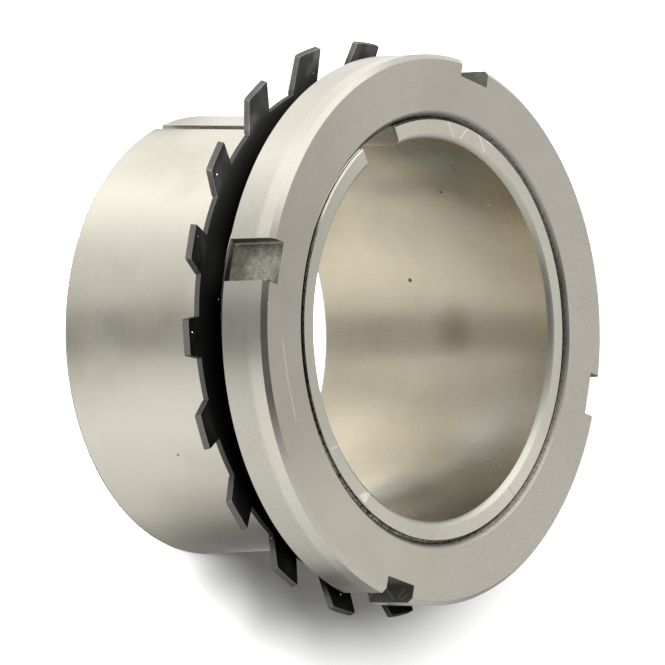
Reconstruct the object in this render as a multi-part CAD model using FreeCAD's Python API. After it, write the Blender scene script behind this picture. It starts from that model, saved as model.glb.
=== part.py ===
import FreeCAD, Part
import math
import os

# Bearing adapter sleeve: a split sleeve with a 1:12 cone, its ring nut and its toothed lock washer.
# Millimetres. The axis is Z, the sleeve stands on its large end, and the origin is the centre of
# that end face. Angles are degrees about Z, counted from X; the nut's slots lie on X and Y.

Vector = FreeCAD.Vector
ORIGIN = Vector(0, 0, 0)
Z_AXIS = Vector(0, 0, 1)

# Sleeve
shaft_diameter = 125.0          # bore, the size of the plain shaft that it clamps on
sleeve_length = 97.0
thread_wall = 7.5               # from the bore to the crests of the thread
thread_pitch = 2.0
thread_length = 36.0            # from the small end to the root of the cone
taper_ratio = 12.0              # the cone's diameter grows by one part in this many of its length
seat_height = 72.0              # height at which the cone has the thread's outside diameter
slit_width = 4.0                # over the whole length, along one wall of the tongue's slot
tongue_slot_width = 18.0
tongue_slot_length = 47.0       # from the small end
tongue_slot_angle = 129.2
tongue_slot_round = 3.0         # at the corner of its closed end
bore_chamfer = 1.6              # at both ends
large_end_break = 0.8
thread_end_chamfer = 0.4

# Nut
nut_wall = 20.0                 # from the thread's outside diameter to the rim
nut_width = 22.0
nut_land = 10.0                 # locating face, from the thread's outside diameter
nut_back_angle = 25.0           # of the cone behind the rim, against the locating face
nut_rim_chamfer = 1.6
nut_bore_chamfer = 1.5          # past the thread's outside diameter
nut_proud = 0.8                 # how far its front stands past the sleeve's small end
slot_count = 4
slot_width = 14.0
slot_depth = 6.0

# Washer
washer_thickness = 2.0
washer_ring_width = 11.2
washer_gap = 11.3               # on the axis, from the nut's locating face to the washer
washer_tilt = 2.2
washer_tilt_angle = 104.5       # direction in which it leans towards the large end
washer_offset = 0.4             # off centre, in the same direction
tooth_count = 19
tooth_length = 14.0             # of the flat blank, past the ring
tooth_root_width = 13.4
tooth_tip_width = 11.9
tooth_lean = 25.0               # out of the ring's plane, towards the nut
tooth_bend_radius = 1.0
tooth_corner_radius = 0.8
tongue_end_gap = 2.5            # from the tongue's end to the shaft
tongue_corner_radius = 1.0

# Clearances
thread_clearance = 0.05         # radial, between the two threads
washer_clearance = 0.3          # radial, between the washer and the cone
tongue_play = 1.0               # on each side of the tongue when it is centred in its slot
tongue_side_gap = 0.25          # left on the side to which the washer has turned

# Sizes that follow
bore_radius = shaft_diameter / 2
thread_radius = bore_radius + thread_wall
flank_radius = thread_radius - 0.32476 * thread_pitch      # pitch cylinder of a 60 degree thread
large_end_radius = thread_radius + seat_height / taper_ratio / 2
thread_start = sleeve_length - thread_length

nut_front = sleeve_length + nut_proud
nut_back = nut_front - nut_width
nut_radius = thread_radius + nut_wall
nut_land_radius = thread_radius + nut_land
nut_flank_radius = flank_radius + thread_clearance

washer_middle = nut_back - washer_gap - washer_thickness / 2
washer_low_side = (washer_middle - thread_radius * math.sin(math.radians(washer_tilt))
                   - washer_thickness / 2)
tongue_width = tongue_slot_width - 2 * tongue_play


def cone_radius(height):
    """Radius of the sleeve's cone at a height above the large end."""
    return large_end_radius - height / taper_ratio / 2


washer_bore_radius = cone_radius(washer_low_side) + washer_clearance
washer_ring_radius = washer_bore_radius + washer_ring_width
tongue_angle = tongue_slot_angle + math.degrees(math.asin((tongue_play - tongue_side_gap)
                                                          / washer_bore_radius))


def turned(profile):
    """Solid of revolution about Z from (radius, height) corners."""
    corners = [Vector(radius, 0, height) for radius, height in profile]
    face = Part.Face(Part.makePolygon(corners + corners[:1]))
    return face.revolve(ORIGIN, Z_AXIS, 360)


def radial_block(inner, outer, width, bottom, top, aside=0):
    """Block along X from one radius to another, centred across X or moved aside."""
    return Part.makeBox(outer - inner, width, top - bottom,
                        Vector(inner, aside - width / 2, bottom))


def adapter_sleeve():
    """Split sleeve: plain bore, cone, thread on its pitch cylinder, slit and tongue slot."""
    body = turned([
        (bore_radius + bore_chamfer, 0),
        (large_end_radius - large_end_break, 0),
        (cone_radius(large_end_break), large_end_break),
        (cone_radius(thread_start), thread_start),
        (flank_radius, thread_start + thread_pitch),
        (flank_radius, sleeve_length - thread_end_chamfer),
        (flank_radius - thread_end_chamfer, sleeve_length),
        (bore_radius + bore_chamfer, sleeve_length),
        (bore_radius, sleeve_length - bore_chamfer),
        (bore_radius, bore_chamfer),
    ])
    beyond = 2 * large_end_radius
    slit = radial_block(0, beyond, slit_width, -1, sleeve_length + 1,
                        aside=(slit_width - tongue_slot_width) / 2)
    slot = radial_block(0, beyond, tongue_slot_width, sleeve_length - tongue_slot_length,
                        sleeve_length + 1)
    closed_corner = [edge for edge in slot.Edges
                     if abs(edge.tangentAt(edge.FirstParameter).x) > 0.99
                     and edge.CenterOfMass.y > 0 and edge.CenterOfMass.z < sleeve_length]
    slot = slot.makeFillet(tongue_slot_round, closed_corner)
    for cutter in (slit, slot):
        cutter.rotate(ORIGIN, Z_AXIS, tongue_slot_angle)
    return body.cut([slit, slot])


def lock_nut():
    """Ring nut: chamfered rim, coned back with a narrower locating face, slots across the rim."""
    back_rise = (nut_radius - nut_land_radius) * math.tan(math.radians(nut_back_angle))
    bore_edge = thread_radius + nut_bore_chamfer
    chamfer_depth = bore_edge - nut_flank_radius
    body = turned([
        (bore_edge, nut_back),
        (nut_land_radius, nut_back),
        (nut_radius, nut_back + back_rise),
        (nut_radius, nut_front - nut_rim_chamfer),
        (nut_radius - nut_rim_chamfer, nut_front),
        (bore_edge, nut_front),
        (nut_flank_radius, nut_front - chamfer_depth),
        (nut_flank_radius, nut_back + chamfer_depth),
    ])
    slots = []
    for number in range(slot_count):
        slot = radial_block(nut_radius - slot_depth, 2 * nut_radius, slot_width,
                            nut_back - 1, nut_front + 1)
        slot.rotate(ORIGIN, Z_AXIS, number * 360 / slot_count)
        slots.append(slot)
    return body.cut(slots)


def tooth_blank(start, width_at_start, end_radius):
    """Flat tapered strip along X that ends in an arc about the washer's axis."""
    half_start = width_at_start / 2
    half_tip = tooth_tip_width / 2
    strip = Part.Face(Part.makePolygon([
        Vector(start, -half_start, 0),
        Vector(end_radius + 1, -half_tip, 0),
        Vector(end_radius + 1, half_tip, 0),
        Vector(start, half_start, 0),
        Vector(start, -half_start, 0),
    ])).extrude(Vector(0, 0, washer_thickness))
    blank = strip.common(Part.makeCylinder(end_radius, washer_thickness))
    corners = [edge for edge in blank.Edges
               if abs(edge.tangentAt(edge.FirstParameter).z) > 0.99
               and edge.CenterOfMass.x > (start + end_radius) / 2]
    return blank.makeFillet(tooth_corner_radius, corners)


def washer_tooth():
    """One outer tooth along X: its root in the ring, the bend, and the leaning flange."""
    root = Part.makeBox(washer_ring_width / 2, tooth_root_width, washer_thickness,
                        Vector(washer_ring_radius - washer_ring_width / 2, -tooth_root_width / 2, 0))
    bend_axis = Vector(washer_ring_radius, 0, washer_thickness + tooth_bend_radius)
    section = Part.Face(Part.makePolygon([
        Vector(washer_ring_radius, -tooth_root_width / 2, 0),
        Vector(washer_ring_radius, tooth_root_width / 2, 0),
        Vector(washer_ring_radius, tooth_root_width / 2, washer_thickness),
        Vector(washer_ring_radius, -tooth_root_width / 2, washer_thickness),
        Vector(washer_ring_radius, -tooth_root_width / 2, 0),
    ]))
    bend = section.revolve(bend_axis, Vector(0, -1, 0), tooth_lean)
    bend_length = (tooth_bend_radius + washer_thickness / 2) * math.radians(tooth_lean)
    flange = tooth_blank(washer_ring_radius, tooth_root_width,
                         washer_ring_radius + tooth_length - bend_length)
    flange.rotate(bend_axis, Vector(0, -1, 0), tooth_lean)
    return root.fuse([bend, flange])


def washer_tongue():
    """Inner tongue along X, which lies in its slot and keeps the washer from turning."""
    inner_end = bore_radius + tongue_end_gap
    tongue = Part.makeBox(washer_bore_radius + 1 - inner_end, tongue_width, washer_thickness,
                          Vector(inner_end, -tongue_width / 2, 0))
    corners = [edge for edge in tongue.Edges
               if abs(edge.tangentAt(edge.FirstParameter).z) > 0.99
               and edge.CenterOfMass.x < inner_end + 0.1]
    return tongue.makeFillet(tongue_corner_radius, corners)


def lock_washer():
    """Toothed washer, lying askew on the cone with its tongue in the sleeve's slot."""
    ring = Part.makeCylinder(washer_ring_radius, washer_thickness).cut(
        Part.makeCylinder(washer_bore_radius, washer_thickness))
    teeth = []
    for number in range(tooth_count):
        tooth = washer_tooth()
        tooth.rotate(ORIGIN, Z_AXIS, (number + 0.5) * 360 / tooth_count)
        teeth.append(tooth)
    washer = ring.fuse(teeth + [washer_tongue()]).removeSplitter()
    washer.translate(Vector(0, 0, -washer_thickness / 2))
    washer.rotate(ORIGIN, Z_AXIS, tongue_angle)
    lean = math.radians(washer_tilt_angle)
    washer.rotate(ORIGIN, Vector(math.sin(lean), -math.cos(lean), 0), -washer_tilt)
    washer.translate(Vector(washer_offset * math.cos(lean), washer_offset * math.sin(lean),
                            washer_middle))
    return washer


os.makedirs("parts", exist_ok=True)
for name, build in (("adapter_sleeve", adapter_sleeve),
                    ("lock_nut", lock_nut),
                    ("lock_washer", lock_washer)):
    build().exportStep("parts/" + name + ".step")
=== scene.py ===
import logging
import math
from dataclasses import dataclass
from enum import Enum
from functools import cache, reduce
from typing import Callable, Iterable, Sequence

import bpy
import bmesh
from mathutils import Euler, Matrix, Vector


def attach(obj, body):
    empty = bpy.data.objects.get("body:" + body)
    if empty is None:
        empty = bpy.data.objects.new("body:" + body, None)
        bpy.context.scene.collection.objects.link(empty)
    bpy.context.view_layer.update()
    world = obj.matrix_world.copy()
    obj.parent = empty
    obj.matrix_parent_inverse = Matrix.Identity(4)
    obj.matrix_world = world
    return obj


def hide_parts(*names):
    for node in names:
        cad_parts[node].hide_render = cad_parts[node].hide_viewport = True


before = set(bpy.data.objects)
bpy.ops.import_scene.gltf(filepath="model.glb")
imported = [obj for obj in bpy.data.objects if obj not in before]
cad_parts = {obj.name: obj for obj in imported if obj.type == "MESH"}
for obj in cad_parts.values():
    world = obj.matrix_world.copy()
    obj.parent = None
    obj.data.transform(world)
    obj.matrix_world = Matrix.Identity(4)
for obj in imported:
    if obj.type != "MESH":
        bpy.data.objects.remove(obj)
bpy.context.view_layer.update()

LOG = logging.getLogger("adapter_sleeve_scene")
MM = 0.001
TURN = 360.0
WELD_DIGITS = 4
NEARLY = 0.01

Point = tuple[float, float, float]
Pair = tuple[float, float]
Colour = tuple[float, float, float]
Socket = bpy.types.NodeSocket


class Surface(Enum):
    """Which finish a face of a piece takes; the value is its material slot on the piece."""

    MAIN = 0
    EDGE = 1
    INNER = 2
    RIM = 3


def metres(values: Iterable[float]) -> tuple[float, ...]:
    """Measures in mm as metres."""
    return tuple(value * MM for value in values)


def polar(radius: float, angle: float, height: float = 0.0) -> Point:
    """Point at a distance from the axis, an angle in degrees about Z and a height."""
    turned = math.radians(angle)
    return radius * math.cos(turned), radius * math.sin(turned), height


def spread(start: float, end: float, parts: int) -> list[float]:
    """Evenly spaced values from start to end, both included, with a number of steps between."""
    return [start + (end - start) * number / parts for number in range(parts + 1)]


def quarter_arc(radius: float, parts: int) -> list[Pair]:
    """Quarter of a circle, as distances out and up that start straight above its middle."""
    return [(radius * math.sin(turn), radius * math.cos(turn))
            for turn in spread(0.0, math.pi / 2, parts)]


def smooth_step(low: float, high: float, value: float) -> float:
    """Smooth rise from 0 at low to 1 at high, read at a value."""
    share = min(max((value - low) / (high - low), 0.0), 1.0)
    return share * share * (3.0 - 2.0 * share)


def add_object(name: str, data: bpy.types.ID) -> bpy.types.Object:
    """Put a new object in the scene.

    Args:
        name: its name.
        data: its mesh, light or camera.

    Returns:
        The object.
    """
    piece = bpy.data.objects.new(name, data)
    bpy.context.scene.collection.objects.link(piece)
    return piece


class Draft:
    """Mesh in the making: points in mm that weld where they meet, and the faces between them."""

    def __init__(self) -> None:
        """Start with nothing drawn."""
        self.points: list[Point] = []
        self.numbers: dict[Point, int] = {}
        self.faces: list[list[int]] = []
        self.surfaces: list[int] = []

    def face(self, corners: Iterable[Point], surface: Surface = Surface.MAIN) -> None:
        """Add a face, leaving out corners that fall on each other.

        Args:
            corners: the face's corners in order.
            surface: the finish that it takes.
        """
        loop: list[int] = []
        for corner in corners:
            key = tuple(round(value, WELD_DIGITS) + 0.0 for value in corner)
            number = self.numbers.setdefault(key, len(self.points))
            if number == len(self.points):
                self.points.append(corner)
            if not loop or number != loop[-1]:
                loop.append(number)
        while len(loop) > 1 and loop[0] == loop[-1]:
            loop.pop()
        if len(set(loop)) > 2:
            self.faces.append(loop)
            self.surfaces.append(surface.value)

    def skin(self, lines: Sequence[Sequence[Point]], surface: Surface = Surface.MAIN) -> None:
        """Join neighbouring lines of points with four-sided faces.

        Args:
            lines: lines with the same number of points.
            surface: the finish that the faces take.
        """
        for first, second in zip(lines, lines[1:]):
            for number in range(len(first) - 1):
                self.face((first[number], first[number + 1],
                           second[number + 1], second[number]), surface)

    def build(self, name: str, place: Matrix = Matrix.Identity(4)) -> bpy.types.Object:
        """Make the object in metres, with its faces turned outwards and shaded smooth.

        Args:
            name: the piece's name.
            place: turn and shift in mm that puts the drawn piece in the frame.

        Returns:
            The new object.
        """
        mesh = bpy.data.meshes.new(name)
        mesh.from_pydata([tuple((place @ Vector(point)) * MM) for point in self.points],
                         [], self.faces)
        mesh.polygons.foreach_set("material_index", self.surfaces)
        work = bmesh.new()
        work.from_mesh(mesh)
        bmesh.ops.recalc_face_normals(work, faces=work.faces)
        work.to_mesh(mesh)
        work.free()
        mesh.shade_smooth()
        return add_object(name, mesh)


@dataclass(frozen=True)
class EdgeBreak:
    """Small round on a piece's sharp edges, with a lighter finish on the round: on bare steel, worn
    edge steel raised further as a painted edge highlight.
    """

    width: float
    segments: int = 2
    least_angle: float = 19.0
    smooth_angle: float = 24.0

    def put_on(self, piece: bpy.types.Object, wanted: Callable[[Vector], bool]) -> None:
        """Mark the sharp edges, round them and shade the rest smooth.

        Args:
            piece: the object.
            wanted: says of a point in mm whether edges that end there may be rounded.
        """
        work = bmesh.new()
        work.from_mesh(piece.data)
        layer = work.edges.layers.float.new("bevel_weight_edge")
        for edge in work.edges:
            turn = math.degrees(edge.calc_face_angle(0.0))
            if turn > self.smooth_angle:
                edge.smooth = False
            if turn > self.least_angle and all(wanted(end.co / MM) for end in edge.verts):
                edge[layer] = 1.0
        work.to_mesh(piece.data)
        work.free()
        rounding = piece.modifiers.new("broken_edges", "BEVEL")
        rounding.limit_method = "WEIGHT"
        rounding.width = self.width * MM
        rounding.segments = self.segments
        rounding.material = Surface.EDGE.value


@dataclass(frozen=True)
class Thread:
    """60 degree thread on one helix about Z, which both threads of the set share."""

    major: float
    depth: float
    pitch: float = 2.0
    crest_share: float = 1 / 8
    flank_slope: float = math.sqrt(3.0)
    flank_steps: int = 3

    def radius(self, height: float, angle: float) -> float:
        """Radius of the thread's surface.

        Args:
            height: height in mm.
            angle: degrees about Z.

        Returns:
            The radius in mm.
        """
        turns = height / self.pitch - angle / TURN
        away = abs(turns - round(turns)) - self.crest_share / 2
        return self.major - min(max(away * self.pitch * self.flank_slope, 0.0), self.depth)

    def rows(self, low: float, high: float, angles: Pair) -> list[float]:
        """Heights at angle 0 of the lines that follow the helix.

        Args:
            low: lowest height that has thread.
            high: highest height that has thread.
            angles: first and last angle about Z that the lines reach.

        Returns:
            The heights, from above the high end to below the low end.
        """
        crest = self.crest_share / 2
        root = crest + self.depth / (self.pitch * self.flank_slope)
        breaks = [side * share for side in (-1, 1)
                  for share in spread(crest, root, self.flank_steps)]
        first = math.floor(low / self.pitch - angles[1] / TURN) - 1
        last = math.ceil(high / self.pitch - angles[0] / TURN) + 1
        return sorted(((number + part) * self.pitch
                       for number in range(first, last + 1) for part in breaks), reverse=True)


class Nodes:
    """Short way to lay out shader nodes in one tree."""

    def __init__(self, tree: bpy.types.NodeTree) -> None:
        """Work in one tree."""
        self.tree = tree

    def feed(self, socket: Socket, value: object) -> None:
        """Link an output to a socket, or set the socket's own value.

        Args:
            socket: the input.
            value: an output, a number or a colour.
        """
        if isinstance(value, Socket):
            self.tree.links.new(value, socket)
        else:
            socket.default_value = value

    def add(self, kind: str, *values: object, **settings: object) -> bpy.types.Node:
        """Add a node, set its own properties and feed its first inputs in order.

        Args:
            kind: the node's type without its ShaderNode prefix.
            *values: what its first inputs take.
            **settings: properties of the node.

        Returns:
            The node.
        """
        node = self.tree.nodes.new("ShaderNode" + kind)
        for key, value in settings.items():
            setattr(node, key, value)
        for socket, value in zip(node.inputs, values):
            self.feed(socket, value)
        return node

    def maths(self, operation: str, *values: object, clamp: bool = False) -> Socket:
        """One step of arithmetic, whose result may be held between 0 and 1."""
        return self.add("Math", *values, operation=operation, use_clamp=clamp).outputs[0]

    def plus(self, *values: object) -> Socket:
        """Sum of the values."""
        return reduce(lambda total, value: self.maths("ADD", total, value), values)

    def times(self, *values: object) -> Socket:
        """Product of the values."""
        return reduce(lambda total, value: self.maths("MULTIPLY", total, value), values)

    def vector(self, operation: str, first: object, second: object) -> Socket:
        """One step of vector arithmetic; a distance or a dot product is a plain value."""
        output = "Value" if operation in ("DISTANCE", "DOT_PRODUCT") else "Vector"
        return self.add("VectorMath", first, second, operation=operation).outputs[output]

    def split(self, vector: Socket) -> tuple[Socket, ...]:
        """X, Y and Z of a vector."""
        return tuple(self.add("SeparateXYZ", vector).outputs)

    def join(self, *parts: object) -> Socket:
        """Vector from its X, Y and Z."""
        return self.add("CombineXYZ", *parts).outputs[0]

    def place(self) -> Socket:
        """Place on the piece, in the piece's own frame."""
        return self.add("TexCoord").outputs["Object"]

    def radius(self, x: Socket, y: Socket) -> Socket:
        """Distance from the axis."""
        return self.maths("SQRT", self.plus(self.times(x, x), self.times(y, y)))

    def along(self, x: Socket, y: Socket, heading: float) -> Socket:
        """How far a place lies in a direction, given in degrees about Z."""
        cosine, sine, _ = polar(1.0, heading)
        return self.plus(self.times(x, cosine), self.times(y, sine))

    def map(self, value: object, old: tuple[object, object], new: Pair,
            smooth: bool = False) -> Socket:
        """Carry a value from one range to another, held at the ends and eased if smooth."""
        way = "SMOOTHSTEP" if smooth else "LINEAR"
        return self.add("MapRange", value, *old, *new, interpolation_type=way).outputs[0]

    def between(self, share: object, first: object, second: object) -> Socket:
        """Value that lies a share of the way from one value to another."""
        return self.plus(first, self.times(share, self.maths("SUBTRACT", second, first)))

    def blend(self, share: object, first: object, second: object, way: str = "MIX") -> Socket:
        """Mix two colours.

        Args:
            share: how much of the second shows.
            first: a colour or an output.
            second: a colour or an output.
            way: the blend type.

        Returns:
            The mixed colour.
        """
        node = self.add("Mix", share, data_type="RGBA", blend_type=way)
        for name, value in (("A", first), ("B", second)):
            socket = next(item for item in node.inputs
                          if item.name == name and item.type == "RGBA")
            self.feed(socket, (*value, 1.0) if isinstance(value, tuple) else value)
        return next(item for item in node.outputs if item.type == "RGBA")

    def noise(self, place: Socket, scale: object, detail: float, roughness: float = 0.55,
              spin: Socket | None = None) -> Socket:
        """Noise between 0 and 1 at a place, or at one of four dimensions whose last is the spin."""
        settings = {"noise_dimensions": "3D" if spin is None else "4D"}
        return self.add("TexNoise", place, spin or 0.0, scale, detail, roughness,
                        **settings).outputs["Fac"]

    def group(self, tree: bpy.types.NodeTree, *values: object) -> Socket:
        """Value of a node group whose inputs take these values in order."""
        return self.add("Group", *values, node_tree=tree).outputs[0]

    def relief(self, shader: bpy.types.Node, height: Socket) -> None:
        """Let a height in mm shape a shader's normal.

        Args:
            shader: the shader.
            height: the height.
        """
        bump = self.add("Bump")
        self.feed(bump.inputs["Height"], height)
        self.feed(bump.inputs["Distance"], MM)
        self.feed(shader.inputs["Normal"], bump.outputs[0])


class Group(Nodes):
    """Node group in the making, with numbers for inputs and one value for output."""

    def __init__(self, name: str, *inputs: str) -> None:
        """Start the group.

        Args:
            name: its name.
            *inputs: its inputs' names.
        """
        super().__init__(bpy.data.node_groups.new(name, "ShaderNodeTree"))
        for title, side in [(title, "INPUT") for title in inputs] + [("Value", "OUTPUT")]:
            self.tree.interface.new_socket(title, in_out=side, socket_type="NodeSocketFloat")
        self.given = tuple(self.tree.nodes.new("NodeGroupInput").outputs)[:len(inputs)]

    def close(self, value: Socket) -> bpy.types.NodeTree:
        """Put out a value and hand over the finished group."""
        self.feed(self.tree.nodes.new("NodeGroupOutput").inputs[0], value)
        return self.tree


SHARE: Pair = (0.0, 1.0)
FALL: Pair = (1.0, 0.0)
MOST_NOISE: Pair = (0.3, 0.7)
MOST_LINES: Pair = (0.2, 0.8)
SPECK_LEAST = 0.3
SPOT_SWING: Pair = (-1.0, 1.0)
LINE_MARK_SWING: Pair = (0.6, 1.6)
# Patches and levels of the painted shade and grease in the thread gap.
SHADE_AND_GREASE_PATCHES: Pair = (0.35, 0.65)
SHADE_AND_GREASE_LEVELS: Pair = (1.0, 0.6)
GAP_FLOOR = 93.0


@cache
def lathe_lines() -> bpy.types.NodeTree:
    """Fine lines that run round the axis, on faces and on cylinders alike.

    Returns:
        The group: Around and Across set how the lines stretch.
    """
    group = Group("lathe_lines", "Around", "Across")
    around, across = group.given
    x, y, z = group.split(group.place())
    radius = group.radius(x, y)
    held = group.maths("MAXIMUM", radius, MM)
    ring = [group.times(group.maths("DIVIDE", side, held), around) for side in (x, y)]
    return group.close(group.noise(
        group.join(*ring, group.times(z, across)), scale=1.0, detail=3.0, roughness=0.6,
        spin=group.times(radius, across)))


@cache
def soft_clouds() -> bpy.types.NodeTree:
    """Soft blotches of handling and old oil.

    Returns:
        The group: Scale, the blotches' edges Low and High, and a Seed.
    """
    group = Group("soft_clouds", "Scale", "Low", "High", "Seed")
    scale, low, high, seed = group.given
    value = group.noise(group.place(), scale, detail=4.0, spin=seed)
    return group.close(group.map(value, (low, high), SHARE, smooth=True))


@cache
def sparse_specks() -> bpy.types.NodeTree:
    """Sparse small specks, such as dust or pits.

    Returns:
        The group: Scale of the cells, Size of a speck and the Share of cells that have one.
    """
    group = Group("sparse_specks", "Scale", "Size", "Share")
    scale, size, share = group.given
    cells = group.add("TexVoronoi", group.place())
    group.feed(cells.inputs["Scale"], scale)
    chance, swing, _ = group.add("SeparateColor", cells.outputs["Color"]).outputs
    inside = group.maths("LESS_THAN", cells.outputs["Distance"],
                         group.times(size, group.plus(swing, SPECK_LEAST)))
    return group.close(group.times(group.maths("LESS_THAN", chance, share), inside))


@cache
def fine_grain() -> bpy.types.NodeTree:
    """Even matte grain of a turned or ground face, as fine as its Scale."""
    group = Group("fine_grain", "Scale")
    return group.close(group.noise(group.place(), *group.given, detail=4.0, roughness=0.65))


@cache
def soft_spot() -> bpy.types.NodeTree:
    """Patch about one place, with an uneven edge, used for stains, rubs, painted shade and painted
    light.

    Returns:
        The group: the place X, Y, Z, the radii Inner and Outer and how Ragged the edge is.
    """
    group = Group("soft_spot", *"XYZ", "Inner", "Outer", "Ragged")
    *centre, inner, outer, ragged = group.given
    where = group.place()
    away = group.vector("DISTANCE", where, group.join(*centre))
    swing = group.times(ragged, group.map(group.noise(where, scale=260.0, detail=3.0),
                                          MOST_NOISE, SPOT_SWING))
    reach = group.times(away, group.plus(swing, 1.0))
    return group.close(group.map(reach, (inner, outer), FALL, smooth=True))


@cache
def line_mark() -> bpy.types.NodeTree:
    """Line from one place to another, used for thin scratches and broad bands of painted shade.

    Returns:
        The group: the ends X, Y, Z and U, V, W and the Width.
    """
    group = Group("line_mark", *"XYZUVW", "Width")
    *ends, width = group.given
    where = group.place()
    start = group.join(*ends[:3])
    along = group.vector("SUBTRACT", group.join(*ends[3:]), start)
    arm = group.vector("SUBTRACT", where, start)
    share = group.maths("DIVIDE", group.vector("DOT_PRODUCT", arm, along),
                        group.vector("DOT_PRODUCT", along, along), clamp=True)
    away = group.vector("DISTANCE", arm, group.vector("MULTIPLY", along, share))
    ragged = group.times(away, group.map(group.noise(where, scale=1400.0, detail=2.0),
                                         MOST_NOISE, LINE_MARK_SWING))
    return group.close(group.maths("SUBTRACT", 1.0, group.maths("DIVIDE", ragged, width),
                                   clamp=True))


@cache
def gap_shade_and_grease() -> bpy.types.NodeTree:
    """Painted shade in the ring gap where the sleeve's thread meets the nut's, with some old
    grease.

    Returns:
        The group: the gap's Radius, and the distances Inner and Outer at which it fades.
    """
    group = Group("gap_shade_and_grease", "Radius", "Inner", "Outer")
    radius, inner, outer = group.given
    where = group.place()
    x, y, z = group.split(where)
    away = group.maths("ABSOLUTE", group.maths("SUBTRACT", group.radius(x, y), radius))
    patchy = group.map(group.noise(where, scale=900.0, detail=3.0), SHADE_AND_GREASE_PATCHES, SHADE_AND_GREASE_LEVELS)
    return group.close(group.times(group.map(away, (inner, outer), FALL, smooth=True), patchy,
                                   group.maths("GREATER_THAN", z, GAP_FLOOR * MM)))


def new_material(name: str) -> tuple[bpy.types.Material, Nodes, bpy.types.Node]:
    """Empty material with one Principled shader.

    Args:
        name: the material's name.

    Returns:
        The material, the node helper and the shader.
    """
    material = bpy.data.materials.new(name)
    material.use_nodes = True
    shader = next(node for node in material.node_tree.nodes if node.type == "BSDF_PRINCIPLED")
    return material, Nodes(material.node_tree), shader


@dataclass(frozen=True)
class Spot:
    """Patch about one place of a piece, in mm, used for stains, bright rubs, painted shade and
    painted light.
    """

    place: Point
    inner: float
    outer: float
    colour: Colour
    share: float = 1.0
    ragged_edge: float = 1.5
    most_ragged: float = 0.25

    def mask(self, nodes: Nodes) -> Socket:
        """Where the spot shows in a material."""
        ragged = min(self.most_ragged, self.ragged_edge / self.outer)
        return nodes.times(nodes.group(
            soft_spot(), *metres((*self.place, self.inner, self.outer)), ragged), self.share)


@dataclass(frozen=True)
class LineMark:
    """Line between two places of a piece, in mm, used for scratches and bands of painted shade."""

    start: Point
    end: Point
    width: float
    colour: Colour
    share: float = 1.0

    def mask(self, nodes: Nodes) -> Socket:
        """Where the scratch shows in a material."""
        sizes = metres((*self.start, *self.end, self.width))
        return nodes.times(nodes.group(line_mark(), *sizes), self.share)


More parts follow.
